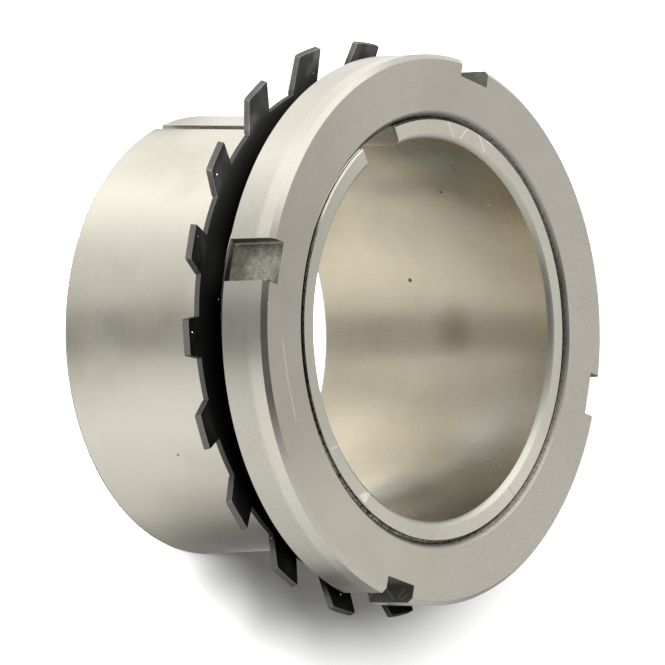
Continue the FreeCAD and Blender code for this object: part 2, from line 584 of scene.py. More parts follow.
@dataclass(frozen=True)
class SteelFinish:
    """Bare steel: its colour, sheen, lines from the machine, stains, pits, scratches and rubs, and
    the painted shade and light that some finishes add.
    """

    name: str
    colour: Colour = (0.65, 0.633, 0.558)
    stain: Colour = (0.42, 0.37, 0.27)
    stain_share: float = 0.35
    stain_scale: float = 24.0
    stain_edges: Pair = (0.46, 0.74)
    cloud_finer: float = 2.3
    cloud_shape: Point = (0.3, 0.7, 4.0)
    cloud_tones: Pair = (0.975, 1.02)
    roughness: float = 0.25
    roughness_swing: float = 0.05
    line_gloss: Pair = (-0.03, 0.03)
    around: float = 5.0
    across: float = 2600.0
    line_depth: float = 0.0012
    line_contrast: float = 0.06
    grain_scale: float = 1500.0
    grain_contrast: float = 0.05
    grain_depth: float = 0.0
    pit: Colour = (0.08, 0.07, 0.05)
    pit_strength: float = 0.8
    pit_scale: float = 120.0
    pit_share: float = 0.02
    pit_size: float = 0.035
    streaks: float = 0.0
    streak_stretch: Pair = (420.0, 26.0)
    streak_edges: Pair = (0.25, 0.75)
    # Painted highlight band: the steel is lighter from the first given height to the second and
    # above; on the rim it lies next to the chamfer.
    highlight_band: float = 0.0
    highlight_band_from: Pair = (90.0, 92.0)
    # Painted shade, with some grease, in the thread gap between sleeve and nut; the lifted places
    # leave it off where the chamfer shows bright.
    gap_shade_and_grease_share: float = 0.0
    gap_shade_and_grease_reach: Point = (70.1, 0.2, 0.9)
    marks_and_painted_light: tuple[Spot | LineMark, ...] = ()
    shade_and_grease_lifted: tuple[Spot | LineMark, ...] = ()

    def _tone(self, nodes: Nodes, lines: Socket, grain: Socket, cloud: Socket) -> Socket:
        """How light the steel is from place to place, about 1.

        Args:
            nodes: the material's nodes.
            lines: the machine's lines.
            grain: the grain.
            cloud: the soft blotches.

        Returns:
            The tone.
        """
        tone = nodes.plus(
            nodes.map(lines, SHARE, (-self.line_contrast, self.line_contrast)),
            nodes.map(grain, SHARE, (-self.grain_contrast, self.grain_contrast)),
            nodes.map(cloud, SHARE, self.cloud_tones))
        if self.streaks:
            streak = nodes.group(lathe_lines(), *self.streak_stretch)
            tone = nodes.plus(tone, nodes.map(streak, self.streak_edges,
                                              (-self.streaks, self.streaks)))
        # Painted highlight band: lighter from the given heights upwards.
        if self.highlight_band:
            height = nodes.split(nodes.place())[2]
            tone = nodes.times(tone, nodes.map(height, metres(self.highlight_band_from),
                                               (1.0, 1.0 + self.highlight_band), smooth=True))
        return tone

    def material(self) -> bpy.types.Material:
        """Build the material.

        Returns:
            The material.
        """
        material, nodes, shader = new_material(self.name)
        lines = nodes.group(lathe_lines(), self.around, self.across)
        grain = nodes.group(fine_grain(), self.grain_scale)
        stain = nodes.group(soft_clouds(), self.stain_scale, *self.stain_edges, 0.0)
        cloud = nodes.group(soft_clouds(), self.stain_scale * self.cloud_finer,
                            *self.cloud_shape)
        pits = nodes.group(sparse_specks(), self.pit_scale, self.pit_size, self.pit_share)
        tone = self._tone(nodes, lines, grain, cloud)
        stained = nodes.blend(nodes.times(stain, self.stain_share), self.colour, self.stain)
        shown = nodes.blend(1.0, stained, nodes.join(tone, tone, tone), "MULTIPLY")
        shown = nodes.blend(nodes.times(pits, self.pit_strength), shown, self.pit)
        for patch in self.marks_and_painted_light:
            shown = nodes.blend(patch.mask(nodes), shown, patch.colour)
        # Painted shade and grease along the thread gap, left off at the lifted places.
        if self.gap_shade_and_grease_share:
            gap_shade_and_grease_share = nodes.times(nodes.group(gap_shade_and_grease(), *metres(self.gap_shade_and_grease_reach)), self.gap_shade_and_grease_share)
            for place in self.shade_and_grease_lifted:
                gap_shade_and_grease_share = nodes.times(gap_shade_and_grease_share, nodes.maths("SUBTRACT", 1.0, place.mask(nodes)))
            shown = nodes.blend(gap_shade_and_grease_share, shown, SHADE_AND_GREASE)
        nodes.feed(shader.inputs["Base Color"], shown)
        nodes.feed(shader.inputs["Metallic"], 1.0)
        swing = self.roughness_swing
        nodes.feed(shader.inputs["Roughness"], nodes.plus(
            nodes.map(cloud, SHARE, (self.roughness - swing, self.roughness + swing)),
            nodes.times(stain, swing), nodes.map(lines, MOST_LINES, self.line_gloss)))
        nodes.relief(shader, nodes.plus(nodes.times(lines, self.line_depth),
                                        nodes.times(grain, self.grain_depth)))
        return material


@dataclass(frozen=True)
class BlackFinish:
    """Blackened sheet steel, worn lighter at places and dusted with specks, with painted shade that
    makes it darker and less glossy towards the bottom.
    """

    name: str
    colour: Colour
    # Painted shade: colour at the bottom of the washer.
    shaded_colour: Colour = (0.0002, 0.0002, 0.0002)
    worn: Colour = (0.035, 0.035, 0.032)
    wear_share: float = 0.5
    wear_clouds: tuple[float, ...] = (90.0, 0.4, 0.75, 2.0)
    worn_beyond: Pair = (80.0, 85.0)
    # Painted shade: heights between which the washer turns from shaded to lit, and how much is left
    # lit at the bottom.
    lit_above: Pair = (-20.0, 75.0)
    lit_at_bottom: float = 0.08
    dust: Colour = (0.55, 0.54, 0.5)
    dust_specks: tuple[float, ...] = (320.0, 0.09, 0.13)
    roughness: float = 0.42
    roughness_swing: float = 0.1
    sheen: float = 0.24
    ring_sheen: float = 0.25
    # Painted shade: sheen left at the bottom.
    shaded_sheen: float = 0.1
    grain_scale: float = 2200.0
    grain_gloss: Pair = (-0.05, 0.05)
    grain_depth: float = 0.02

    def material(self) -> bpy.types.Material:
        """Build the material.

        Returns:
            The material.
        """
        material, nodes, shader = new_material(self.name)
        wear = nodes.group(soft_clouds(), *self.wear_clouds)
        grain = nodes.group(fine_grain(), self.grain_scale)
        dust = nodes.group(sparse_specks(), *self.dust_specks)
        x, y, _ = nodes.split(nodes.place())
        # Painted shade: the film darker and duller towards the bottom.
        lit_share = nodes.map(y, metres(self.lit_above), (self.lit_at_bottom, 1.0), smooth=True)
        on_teeth = nodes.times(nodes.map(nodes.radius(x, y), metres(self.worn_beyond), SHARE,
                                         smooth=True), lit_share)
        film = nodes.blend(nodes.times(on_teeth, self.wear_share, wear),
                           nodes.blend(lit_share, self.shaded_colour, self.colour), self.worn)
        nodes.feed(shader.inputs["Base Color"], nodes.blend(dust, film, self.dust))
        nodes.feed(shader.inputs["Roughness"], nodes.plus(
            nodes.map(wear, SHARE, (self.roughness, self.roughness + self.roughness_swing)),
            nodes.map(grain, MOST_NOISE, self.grain_gloss)))
        nodes.feed(shader.inputs["Specular IOR Level"], nodes.times(
            nodes.map(lit_share, SHARE, (self.shaded_sheen, 1.0)),
            nodes.map(on_teeth, SHARE, (self.sheen * self.ring_sheen, self.sheen))))
        nodes.relief(shader, nodes.times(grain, self.grain_depth))
        return material


# Colour of the painted shade and grease in the thread gap.
SHADE_AND_GREASE: Colour = (0.03, 0.03, 0.026)
DARK: Colour = (0.06, 0.055, 0.04)
BRIGHT: Colour = (0.92, 0.91, 0.87)
SLEEVE_END = 97.0
NUT_FACE = 97.8
SLOT_WALL = 7.0
TURNED: dict[str, float] = {"stain_share": 0.2, "around": 9.0, "across": 1500.0}

GROUND_STEEL = SteelFinish(
    "ground_steel", line_depth=0.0006, gap_shade_and_grease_share=1.0, gap_shade_and_grease_reach=(69.5, 0.7, 1.3), marks_and_painted_light=(
        Spot((-47.6, -53.3, 36.4), 0.2, 0.7, DARK, 0.8),
        # Painted shade: the cone's lower side near the washer, darkened where it mirrors the
        # shadowed floor.
        Spot((-6.0, -71.0, 38.0), 8.0, 42.0, (0.3, 0.29, 0.25), 0.85),
    # Lifts the painted gap shade off the thread's end chamfer at the upper left, where it shows
    # bright.
    ), shade_and_grease_lifted=(Spot((-59.0, 35.5, 96.4), 14.0, 23.0, BRIGHT, 0.95),))
BORE_STEEL = SteelFinish(
    "bore_steel", colour=(0.56, 0.508, 0.396), stain=(0.36, 0.29, 0.17), stain_share=0.4,
    roughness=0.26, line_depth=0.0, line_contrast=0.03, streaks=0.07, marks_and_painted_light=(
        # Painted shade: darker grey where the top of the bore mirrors shade.
        Spot((8.0, 62.0, 77.0), 6.0, 30.0, (0.3, 0.325, 0.305)),
        # Painted reflections: a dark reflection low in the bore and a lighter blue-grey one by the
        # nut end.
        Spot((41.0, -47.0, 57.0), 9.0, 24.0, (0.29, 0.29, 0.25), 0.95),
        Spot((57.0, -25.0, 88.0), 6.0, 34.0, (0.66, 0.665, 0.63), 0.8),
        Spot((41.8, 46.5, 40.0), 6.0, 20.0, (0.48, 0.435, 0.34), 0.7),
        # Painted shade: a broad darker band down the far wall of the bore.
        LineMark((62.5, -1.0, 28.0), (62.3, -5.0, 70.0), 9.0, (0.49, 0.445, 0.35), 0.6),
        # Painted reflection: a dark green-grey patch low in the bore by the nut end.
        Spot((34.0, -52.0, 84.0), 8.0, 28.0, (0.35, 0.36, 0.335), 0.85),
        Spot((60.0, 13.0, 60.0), 8.0, 60.0, (0.6, 0.55, 0.44), 0.4),
        # Painted shade: a second broad darker band down the far wall, towards the large end.
        LineMark((62.0, 0.0, 8.0), (62.0, -9.0, 52.0), 15.0, (0.42, 0.385, 0.3), 0.75),
        Spot((60.3, 16.3, 56.7), 1.0, 12.0, (0.34, 0.3, 0.2), 0.7),
        Spot((29.0, 55.4, 67.4), 0.3, 0.9, DARK),
        Spot((53.6, 32.2, 39.8), 0.3, 1.0, DARK),
        Spot((2.2, 62.5, 75.9), 0.2, 0.8, DARK),
        Spot((5.6, 62.3, 69.2), 0.2, 0.8, DARK),
        Spot((34.7, 52.0, 83.8), 0.2, 0.8, BRIGHT),
    ))
FACED_STEEL = SteelFinish(
    "faced_steel", **TURNED, colour=(0.605, 0.59, 0.53), roughness=0.4, grain_contrast=0.24,
    grain_depth=0.006, gap_shade_and_grease_share=1.0, marks_and_painted_light=(
        *(LineMark((x, y, SLEEVE_END), (u, v, SLEEVE_END), width, BRIGHT)
          for x, y, u, v, width in (
              (-9.2, 67.8, -4.5, 63.0, 0.35), (1.0, 68.2, -1.7, 64.3, 0.5),
              (7.9, 67.7, 11.7, 63.8, 0.4), (12.5, 67.2, 16.2, 66.8, 0.4),
              (-44.2, -51.0, -41.1, -49.2, 0.45), (-26.3, -62.3, -21.7, -59.8, 0.7),
              (-21.7, -59.8, -23.1, -63.1, 0.6))),
        Spot((-23.9, -61.9, SLEEVE_END), 0.9, 1.6, BRIGHT, 0.9),
        LineMark((49.8, -40.7, SLEEVE_END), (53.4, -42.6, SLEEVE_END), 0.35, DARK, 0.6),
        # Painted light and shade on the end face: lighter at the lower right, darker at the right,
        # the upper right and the left, where the face mirrors a dimmer room.
        Spot((54.0, -35.0, SLEEVE_END), 8.0, 32.0, (0.9, 0.88, 0.81), 0.25),
        Spot((65.0, 11.0, SLEEVE_END), 10.0, 32.0, (0.5, 0.49, 0.445), 0.4),
        Spot((40.0, 54.0, SLEEVE_END), 8.0, 30.0, (0.56, 0.55, 0.495), 0.5),
        Spot((-110.0, -10.0, SLEEVE_END), 15.0, 120.0, (0.44, 0.43, 0.385)),
    ))
TURNED_STEEL = SteelFinish(
    "turned_steel", **TURNED, colour=(0.512, 0.496, 0.45), roughness=0.42, line_contrast=0.05,
    grain_contrast=0.3, grain_depth=0.012, pit_share=0.03, gap_shade_and_grease_share=0.78,
    gap_shade_and_grease_reach=(69.9, 0.4, 1.5), marks_and_painted_light=(
        # Painted light and shade on the nut's face: darker at the top right and on the left, where
        # the face mirrors a dimmer room, lighter at the bottom.
        Spot((20.0, 80.0, NUT_FACE), 12.0, 75.0, (0.48, 0.465, 0.425), 0.9),
        Spot((-110.0, -10.0, NUT_FACE), 15.0, 120.0, (0.4, 0.387, 0.35)),
        Spot((-20.0, -82.0, NUT_FACE), 14.0, 60.0, (0.545, 0.525, 0.45), 0.8),
        LineMark((-77.4, -23.5, NUT_FACE), (-71.8, -35.2, NUT_FACE), 0.3, BRIGHT, 0.5),
        LineMark((-71.8, -35.2, NUT_FACE), (-64.9, -46.6, NUT_FACE), 0.3, BRIGHT, 0.5),
        Spot((-87.5, -14.0, NUT_FACE), 0.2, 0.7, BRIGHT),
    ))
# Edge rounds, and the walls of the sleeve's slot and slit: worn steel, made lighter as a painted
# edge highlight.
BROKEN_EDGE = SteelFinish(
    "broken_edge", colour=(0.8, 0.78, 0.73), roughness=0.34, stain_share=0.1, marks_and_painted_light=(
        # Painted shade on the walls of the slot and the slit at one side, darker down the slit.
        LineMark((-38.5, 61.5, 60.0), (-38.5, 61.5, 97.0), 6.0, (0.47, 0.465, 0.42), 0.9),
        LineMark((-38.5, 61.5, -5.0), (-38.5, 61.5, 55.0), 6.0, (0.28, 0.285, 0.28), 0.9),
    ))
RIM_STEEL = SteelFinish(
    "rim_steel", **TURNED, colour=(0.53, 0.52, 0.47), roughness=0.24, grain_contrast=0.24,
    grain_depth=0.004, highlight_band=0.22, marks_and_painted_light=(
        # Painted shade on the rim's left side and painted highlight on its upper left.
        Spot((-88.0, -14.0, 86.0), 8.0, 28.0, (0.46, 0.45, 0.41), 0.8),
        Spot((-76.0, 48.0, 86.0), 10.0, 30.0, (0.59, 0.58, 0.525), 0.8),
    ))
SLOT_STEEL = SteelFinish(
    "slot_steel", colour=(0.4, 0.39, 0.34), stain=(0.1, 0.1, 0.075), stain_share=0.6,
    stain_scale=90.0, stain_edges=(0.42, 0.6), roughness=0.45, grain_scale=900.0,
    grain_contrast=0.8, grain_depth=0.05, line_contrast=0.15, marks_and_painted_light=(
        # Painted shade in the lower, upper and far slots, and a dark band along a wall of the near
        # slot.
        Spot((0.0, -87.0, 89.0), 9.0, 17.0, (0.12, 0.13, 0.105), 0.72),
        Spot((0.0, 87.0, 89.0), 9.0, 17.0, (0.16, 0.165, 0.13), 0.72),
        Spot((87.0, 0.0, 89.0), 9.0, 17.0, (0.16, 0.165, 0.13), 0.72),
        LineMark((-87.5, 7.5, 76.0), (-87.5, 7.5, 98.0), 5.0, DARK, 0.9),
        LineMark((-84.1, 6.9, 78.0), (-84.1, 6.9, 97.0), 0.5, BRIGHT, 0.7),
        Spot((-84.0, 2.0, 76.5), 0.3, 1.2, BRIGHT, 0.8),
        Spot((-84.0, -3.0, 77.0), 0.2, 1.0, BRIGHT, 0.7),
        Spot((-84.0, -6.0, 94.0), 0.4, 1.4, DARK, 0.9),
        Spot((3.0, 84.0, 96.5), 0.5, 1.6, BRIGHT, 0.9),
        *(LineMark((SLOT_WALL, y, z), (SLOT_WALL, v, w), width, BRIGHT, share)
          for y, z, v, w, width, share in (
              (-85.2, 94.0, -87.6, 92.0, 0.5, 0.3), (-88.6, 90.0, -85.6, 87.0, 0.5, 0.25),
              (-87.0, 95.5, -88.6, 93.5, 0.4, 0.3), (-86.0, 82.0, -88.4, 78.5, 0.5, 0.25),
              (85.5, 93.0, 88.0, 86.0, 0.6, 0.25))),
    ))
BLACK_STEEL = BlackFinish("black_steel", (0.0042, 0.0042, 0.0039))
WORN_BLACK = BlackFinish("worn_black_edge", (0.022, 0.022, 0.02), shaded_colour=(0.012, 0.012, 0.011),
                         worn=(0.1, 0.1, 0.092), wear_share=1.0)
CUT_BLACK = BlackFinish("cut_black_edge", (0.016, 0.016, 0.0147), shaded_colour=(0.012, 0.012, 0.011))


def dress(piece: bpy.types.Object, body: str, node: str,
          finishes: Sequence[SteelFinish | BlackFinish]) -> None:
    """Give a piece its materials and let it stand for its CAD node.

    Args:
        piece: the object.
        body: the body that it rides on.
        node: the CAD node that it stands for.
        finishes: its finishes, in the order of Surface.
    """
    for finish in finishes:
        piece.data.materials.append(finish.material())
    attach(piece, body)
    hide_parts(node)
    LOG.info("%s: %d faces on %s", piece.name, len(piece.data.polygons), body)


@dataclass
class AdapterSleeve:
    """Split sleeve: plain bore, cone, run-out, thread, narrow slit and the tongue's slot."""

    bore_radius: float = 62.5
    length: float = SLEEVE_END
    crest_radius: float = 70.0
    thread_depth: float = 1.2269
    seat_height: float = 72.0
    half_taper: float = 1 / 24
    cone_end: float = 61.0
    step_rise: float = 0.5
    run_out: float = 3.0
    thread_chamfer: float = 1.4
    bore_chamfer: float = 1.6
    large_end_break: float = 0.8
    chamfer_bulge: float = 0.16
    slot_width: float = 18.0
    slot_angle: float = 129.2
    slot_floor: float = 50.0
    slot_round: float = 3.0
    slit_width: float = 4.0
    levels: tuple[float, ...] = (12.0, 24.0, 36.0, 48.0)
    bore_levels: tuple[float, ...] = (64.0, 75.0, 86.0)
    corner_round: float = 0.25
    columns: int = 236
    round_steps: int = 3
    chamfer_steps: int = 4
    floor_steps: int = 6
    face_depth: float = 0.05
    wall_angle: float = 9.167
    wall_bulge: float = 0.3
    thread_margins: Pair = (0.2, 0.3)
    thread_zone: float = 3.0
    rounding: EdgeBreak = EdgeBreak(width=0.25)

    def cone_radius(self, height: float) -> float:
        """Radius of the cone at a height."""
        return self.crest_radius + (self.seat_height - height) * self.half_taper

    @property
    def slot_shoulder(self) -> float:
        """Height at which the slot's wall meets the round of its closed corner."""
        return self.slot_floor + self.slot_round

    def _outline(self, inset: float, angle: float, whole_below: float) -> list[Pair]:
        """Section of the wall at one angle, as radius and height.

        Args:
            inset: how far the section is drawn in, for the rounds at slit and slot.
            angle: degrees about Z, which places the thread's lines.
            whole_below: height up to which the section isn't drawn in.

        Returns:
            The section's points from the large end's bore edge round to its outer edge.
        """
        def drawn(height: float) -> float:
            """How far the section is drawn in at a height."""
            return inset if height > whole_below else 0.0

        thread = Thread(self.crest_radius, self.thread_depth)
        low, high = self.cone_end + self.step_rise, self.length
        inner, chamfer = self.bore_radius, self.bore_chamfer
        foot, top = drawn(0.0), self.length - inset
        points = [(inner + foot + chamfer, foot), (inner + foot, foot + chamfer)]
        points += [(inner + drawn(height), height) for height in (
            *self.levels, self.slot_shoulder, *self.bore_levels)]
        for share in spread(0.0, 1.0, self.chamfer_steps):
            bulge = 4 * share * (1 - share) * self.chamfer_bulge / math.sqrt(2.0)
            points.append((inner + inset + chamfer * share - bulge,
                           top - chamfer * (1 - share) + bulge))
        for start in thread.rows(low, high, (self.slot_angle, self.slot_angle + TURN)):
            height = min(max(start + thread.pitch * angle / TURN, low), top)
            fade = smooth_step(low, low + self.run_out, height)
            cut = (self.crest_radius - thread.radius(height, angle)) * fade
            edge = self.crest_radius - self.thread_chamfer + (self.length - height)
            points.append((min(self.crest_radius - cut, edge) - inset, height))
        points.append((self.crest_radius - inset, low))
        points += [(self.cone_radius(height) - drawn(height), height) for height in (
            self.cone_end, self.slot_shoulder, *reversed(self.levels), self.large_end_break)]
        points.append((self.cone_radius(0.0) - self.large_end_break - foot, foot))
        return points

    def _column(self, side: float, aside: float, inset: float) -> list[Point]:
        """One line of points round the section, between one wall of the slot and the other.

        Args:
            side: share of the way round, from 0 at one wall to 1 at the other.
            aside: distance in mm from the nearer wall.
            inset: how far the section is drawn in; at the first wall it is whole below the
                slot, where the wall runs on.

        Returns:
            The points of the section there.
        """
        def angle_at(radius: float) -> float:
            """Angle about Z at which this column stands at a radius."""
            half = math.degrees(math.asin((self.slot_width / 2 + aside) / radius))
            return self.slot_angle + half + side * (TURN - 2 * half)

        outline = self._outline(inset, angle_at(self.crest_radius),
                                self.slot_shoulder if side == 0.0 else -1.0)
        return [polar(radius, angle_at(radius), height) for radius, height in outline]

    def _under_slot(self, across: float, inset: float = 0.0) -> list[Point]:
        """One line of points round the section of the wall that is left under the slot.

        Args:
            across: distance in mm across the slot, counted the way angles grow.
            inset: how far the section is drawn in.

        Returns:
            The points, from the large end's bore edge round to its outer edge.
        """
        past = max(across - (self.slot_width / 2 - self.slot_round), 0.0)
        top = self.slot_shoulder - math.sqrt(self.slot_round ** 2 - past ** 2) - inset
        inner = self.bore_radius + inset
        section = [(inner + self.bore_chamfer, inset), (inner, inset + self.bore_chamfer)]
        section += [(inner, height) for height in (*self.levels, top)]
        section += [(self.cone_radius(height) - inset, height) for height in (
            top, *reversed(self.levels), self.large_end_break)]
        section.append((self.cone_radius(0.0) - self.large_end_break - inset, inset))
        return [polar(radius, self.slot_angle + math.degrees(math.asin(across / radius)), height)
                for radius, height in section]

    def _draw(self) -> Draft:
        """Draw the sleeve's walls and the two faces at each side of the slit.

        Returns:
            The mesh in the making.
        """
        draft = Draft()
        half, round_off, shoulder = self.slot_width / 2, self.corner_round, self.slot_shoulder
        near_wall, bend = self.slit_width - half, half - self.slot_round
        corner = [(round_off - up, round_off - out)
                  for out, up in quarter_arc(round_off, self.round_steps)]
        lines = [self._column(0.0, aside, inset) for aside, inset in corner]
        lines += [self._column(side, round_off, 0.0)
                  for side in spread(0.0, 1.0, self.columns)[1:-1]]
        lines += [self._column(1.0, aside, inset) for aside, inset in reversed(corner)]
        across = [bend + out for out, _ in quarter_arc(self.slot_round, self.floor_steps)[-2::-1]]
        across += spread(bend, near_wall + round_off, self.chamfer_steps)[1:]
        under = [[point for point in lines[0] if point[2] < shoulder + MM]]
        under += [self._under_slot(place) for place in across]
        under += [self._under_slot(near_wall + aside, inset)
                  for aside, inset in reversed(corner[:-1])]
        draft.skin([line + line[:1] for line in lines])
        draft.face(lines[-1])
        draft.face([point for point in lines[0] if point[2] > shoulder - MM])
        draft.skin([line + line[:1] for line in under])
        draft.face(under[-1])
        return draft

    def _surface(self, middle: Vector, normal: Vector) -> Surface:
        """Finish of a face.

        Args:
            middle: the face's middle in mm.
            normal: the face's normal.

        Returns:
            The finish.
        """
        away, below_end = middle.xy.length, self.length - middle.z
        if away < self.bore_radius + NEARLY:
            return Surface.INNER
        on_chamfer = below_end < self.bore_chamfer and away < self.bore_radius + self.bore_chamfer
        if below_end < self.face_depth or on_chamfer:
            return Surface.RIM
        turned = abs(self.slot_angle - math.degrees(math.atan2(middle.y, middle.x)))
        upright = abs(normal.z) < NEARLY and abs(normal.dot(middle) / away) < self.wall_bulge
        return Surface.EDGE if upright and turned < self.wall_angle else Surface.MAIN

    def build(self) -> None:
        """Build and dress the sleeve."""
        piece = self._draw().build("split_adapter_sleeve")
        for face in piece.data.polygons:
            face.material_index = self._surface(face.center / MM, face.normal).value
        below, above = self.thread_margins
        low, high = self.cone_end - below, self.length - above
        root = self.crest_radius - self.thread_zone
        self.rounding.put_on(piece, lambda at: not (low < at.z < high and at.xy.length > root))
        dress(piece, "sleeve", "adapter_sleeve",
              (GROUND_STEEL, BROKEN_EDGE, BORE_STEEL, FACED_STEEL))


@dataclass
class LockNut:
    """Ring nut: chamfered rim, coned back, four spanner slots and the inner thread."""

    front: float = NUT_FACE
    width: float = 22.0
    rim_radius: float = 90.0
    land_radius: float = 80.0
    back_angle: float = 25.0
    rim_chamfer: float = 1.6
    bore_edge: float = 71.5
    groove_radius: float = 70.08
    thread_depth: float = 1.08
    slots: int = 4
    slot_width: float = 14.0
    slot_floor: float = 84.0
    slot_columns: int = 6
    rim_columns: int = 54
    edge_slack: float = 0.1
    rounding: EdgeBreak = EdgeBreak(width=0.3)

    @property
    def back(self) -> float:
        """Height of the locating face."""
        return self.front - self.width

    @property
    def corner_radius(self) -> float:
        """Radius at which a slot's floor meets its walls."""
        return math.hypot(self.slot_floor, self.slot_width / 2)

    def back_height(self, radius: float) -> float:
        """Height of the coned back at a radius."""
        return self.back + (radius - self.land_radius) * math.tan(math.radians(self.back_angle))

    def _slot_angles(self, number: int) -> list[float]:
        """Angles in degrees of the columns across one slot's floor, from wall to wall."""
        return [number * TURN / self.slots + math.degrees(math.atan2(aside, self.slot_floor))
                for aside in spread(-self.slot_width / 2, self.slot_width / 2, self.slot_columns)]

    def _rim_angles(self, number: int, radius: float) -> list[float]:
        """Angles of the columns between one slot and the next.

        Args:
            number: which slot they follow.
            radius: where they are read; beyond the slot's floor they keep to its walls.

        Returns:
            The angles in degrees.
        """
        half = math.degrees(math.asin(self.slot_width / 2 / max(radius, self.corner_radius)))
        step = TURN / self.slots
        return spread(number * step + half, (number + 1) * step - half, self.rim_columns)

    def _rim_line(self, number: int, radius: float, height: float) -> list[Point]:
        """Points of a ring line over the rim that follows a slot."""
        return [polar(radius, angle, height) for angle in self._rim_angles(number, radius)]

    def _slot_line(self, number: int, radius: float, height: float) -> list[Point]:
        """Points of a ring line over a slot."""
        return [polar(radius, angle, height) for angle in self._slot_angles(number)]

    def _floor_line(self, number: int, height: Callable[[float], float]) -> list[Point]:
        """Line where a slot's flat floor meets a face.

        Args:
            number: which slot.
            height: height of that face at a radius.

        Returns:
            The points.
        """
        line = []
        for angle in self._slot_angles(number):
            aside = math.radians(angle - number * TURN / self.slots)
            radius = self.slot_floor / math.cos(aside)
            line.append(polar(radius, angle, height(radius)))
        return line

    def _thread_lines(self, angles: Sequence[float]) -> list[list[Point]]:
        """Lines of the inner thread, which follow its helix between the two bore chamfers.

        Args:
            angles: the columns' angles.

        Returns:
            The lines from the front down to the back.
        """
        thread = Thread(self.groove_radius, self.thread_depth)
        lines = []
        for start in thread.rows(self.back, self.front, (0.0, TURN + TURN / self.slots / 2)):
            line = []
            for angle in angles:
                height = min(max(start + thread.pitch * angle / TURN, self.back), self.front)
                chamfer = self.bore_edge - min(self.front - height, height - self.back)
                line.append(polar(max(thread.radius(height, angle), chamfer), angle, height))
            lines.append(line)
        return lines

    def _quarter(self, draft: Draft, number: int) -> None:
        """Draw the part of the nut that belongs to one slot and the rim after it.

        Args:
            draft: the mesh in the making.
            number: which slot.
        """
        corner, rim, front, back = self.corner_radius, self.rim_radius, self.front, self.back
        section = [(self.bore_edge, front), (corner, front), (rim - self.rim_chamfer, front),
                   (rim, front - self.rim_chamfer), (rim, self.back_height(rim)),
                   (corner, self.back_height(corner)), (self.land_radius, back),
                   (self.bore_edge, back)]
        lines = [self._rim_line(number, *place) for place in section]
        draft.skin(lines[:3])
        draft.skin(lines[2:5], Surface.RIM)
        draft.skin(lines[4:])
        front_floor = self._floor_line(number, lambda radius: front)
        back_floor = self._floor_line(number, self.back_height)
        draft.skin([self._slot_line(number, *section[0]), front_floor])
        draft.skin([front_floor, back_floor], Surface.INNER)
        draft.skin([back_floor] + [self._slot_line(number, *place) for place in section[-2:]])
        for rim_number, end in ((number, 0), (number - 1, -1)):
            draft.face([self._rim_line(rim_number, *place)[end] for place in section[1:6]],
                       Surface.INNER)
        for angles in (self._slot_angles(number), self._rim_angles(number, self.bore_edge)):
            draft.skin(self._thread_lines(angles))

    def build(self) -> None:
        """Build and dress the nut."""
        draft = Draft()
        for number in range(self.slots):
            self._quarter(draft, number)
        piece = draft.build("ring_lock_nut")
        self.rounding.put_on(piece, lambda at: at.xy.length > self.bore_edge - self.edge_slack)
        dress(piece, "nut", "lock_nut",
              (TURNED_STEEL, BROKEN_EDGE, SLOT_STEEL, RIM_STEEL))


